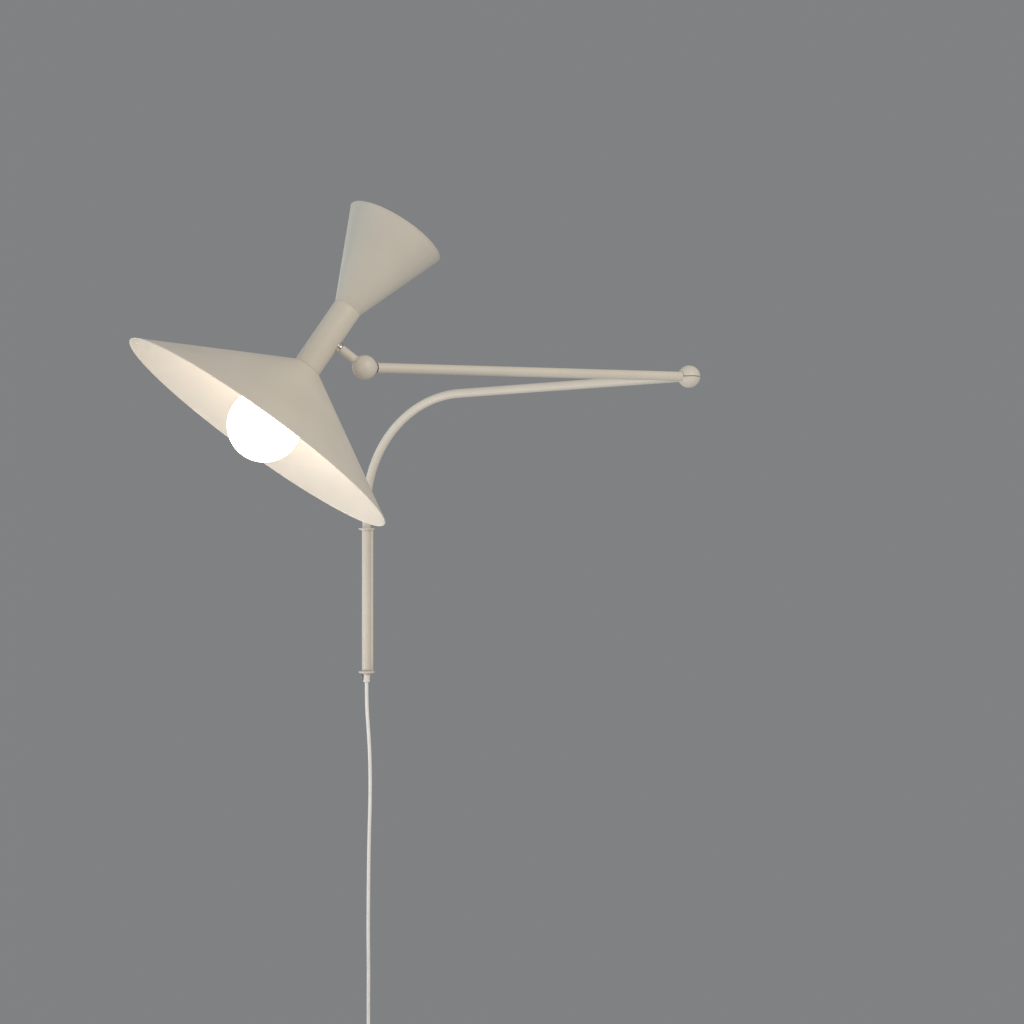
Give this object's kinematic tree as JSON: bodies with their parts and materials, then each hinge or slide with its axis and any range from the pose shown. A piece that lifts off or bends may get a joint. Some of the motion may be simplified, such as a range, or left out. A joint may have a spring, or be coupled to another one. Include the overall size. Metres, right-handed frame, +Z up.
{
  "type": "adjustable wall lamp",
  "caption": "Wall lamp with a bracket, bent and straight swivel arms, ball joints and a tilting stem carrying a wide downlight shade and a small uplight shade.",
  "frame": {"origin": "middle of the wall plate's back face, on the wall plane", "axes": "+Z up, +Y into the wall, +X to the right seen from the room"},
  "size_m": [0.8524, 0.8702, 1.5818],
  "materials": {
    "cream_paint": "satin powder coat",
    "bush_nylon": "moulded",
    "dark_nylon": "moulded",
    "steel": "zinc plated",
    "chrome": "polished",
    "brass": "machined",
    "cord_pvc": "smooth sheath",
    "white_plastic": "moulded",
    "nickel": "nickel plated",
    "holder_plastic": "moulded",
    "lit_opal": "opal, lit",
    "opal": "opal"
  },
  "bodies": {
    "bracket": {"wall_plate": "cream_paint", "upper_ear": "cream_paint", "lower_ear": "cream_paint", "upper_bush": "bush_nylon", "lower_bush": "bush_nylon", "thrust_washer": "steel", "cord": "cord_pvc", "cord_coil": "cord_pvc", "cord_tie": "white_plastic", "switch_back": "white_plastic", "switch_front": "white_plastic", "plug_body": "white_plastic", "plug_pins": "nickel"},
    "lower_arm": {"lower_arm_tube": "cream_paint", "foot_journal": "cream_paint", "cord_gland": "cream_paint", "gland_screw": "steel", "lower_elbow_half": "cream_paint", "elbow_pin": "steel", "elbow_washer": "dark_nylon", "lower_cable": "cord_pvc"},
    "upper_arm": {"upper_elbow_half": "cream_paint", "elbow_screw": "steel", "upper_arm_tube": "cream_paint", "arm_spigot": "steel", "upper_cable": "cord_pvc"},
    "knuckle": {"head_ball": "cream_paint", "knuckle_washer": "dark_nylon", "knuckle_screw": "steel"},
    "head": {"swivel_ring": "chrome", "stem_nipple": "brass", "nipple_nut": "brass", "stem_tube": "cream_paint", "main_shade": "cream_paint", "upper_shade": "cream_paint", "lower_bridge": "steel", "upper_bridge": "steel", "lower_lampholder": "holder_plastic", "upper_lampholder": "holder_plastic", "lower_shade_ring": "holder_plastic", "upper_shade_ring": "holder_plastic", "globe_glass": "lit_opal", "globe_cap": "nickel", "upper_glass": "opal", "upper_cap": "nickel", "stem_leads": "cord_pvc"},
    "rocker": {"switch_rocker": "white_plastic"}
  },
  "joints": [
    {"name": "wall_swivel", "type": "hinge", "parent": "bracket", "child": "lower_arm", "pos_m": [0, -0.024, 0], "axis": [0, 0, 1], "range_deg": [-144, 29]},
    {"name": "elbow_swivel", "type": "hinge", "parent": "lower_arm", "child": "upper_arm", "pos_m": [0.54083, -0.33625, 0.3735], "axis": [0, 0, 1], "range_deg": [-7, 248]},
    {"name": "head_roll", "type": "hinge", "parent": "upper_arm", "child": "knuckle", "pos_m": [0.04247, -0.61936, 0.3666], "axis": [-0.8694, -0.4939, -0.012], "range_deg": [-150, 150]},
    {"name": "head_swivel", "type": "hinge", "parent": "knuckle", "child": "head", "pos_m": [0.00847, -0.61936, 0.39316], "axis": [-0.788, 0, 0.6157], "range_deg": [-80, 175]},
    {"name": "switch_press", "type": "hinge", "parent": "bracket", "child": "rocker", "pos_m": [0.003, -0.029, -0.793], "axis": [1, 0, 0], "range_deg": [0, 14]}
  ]
}
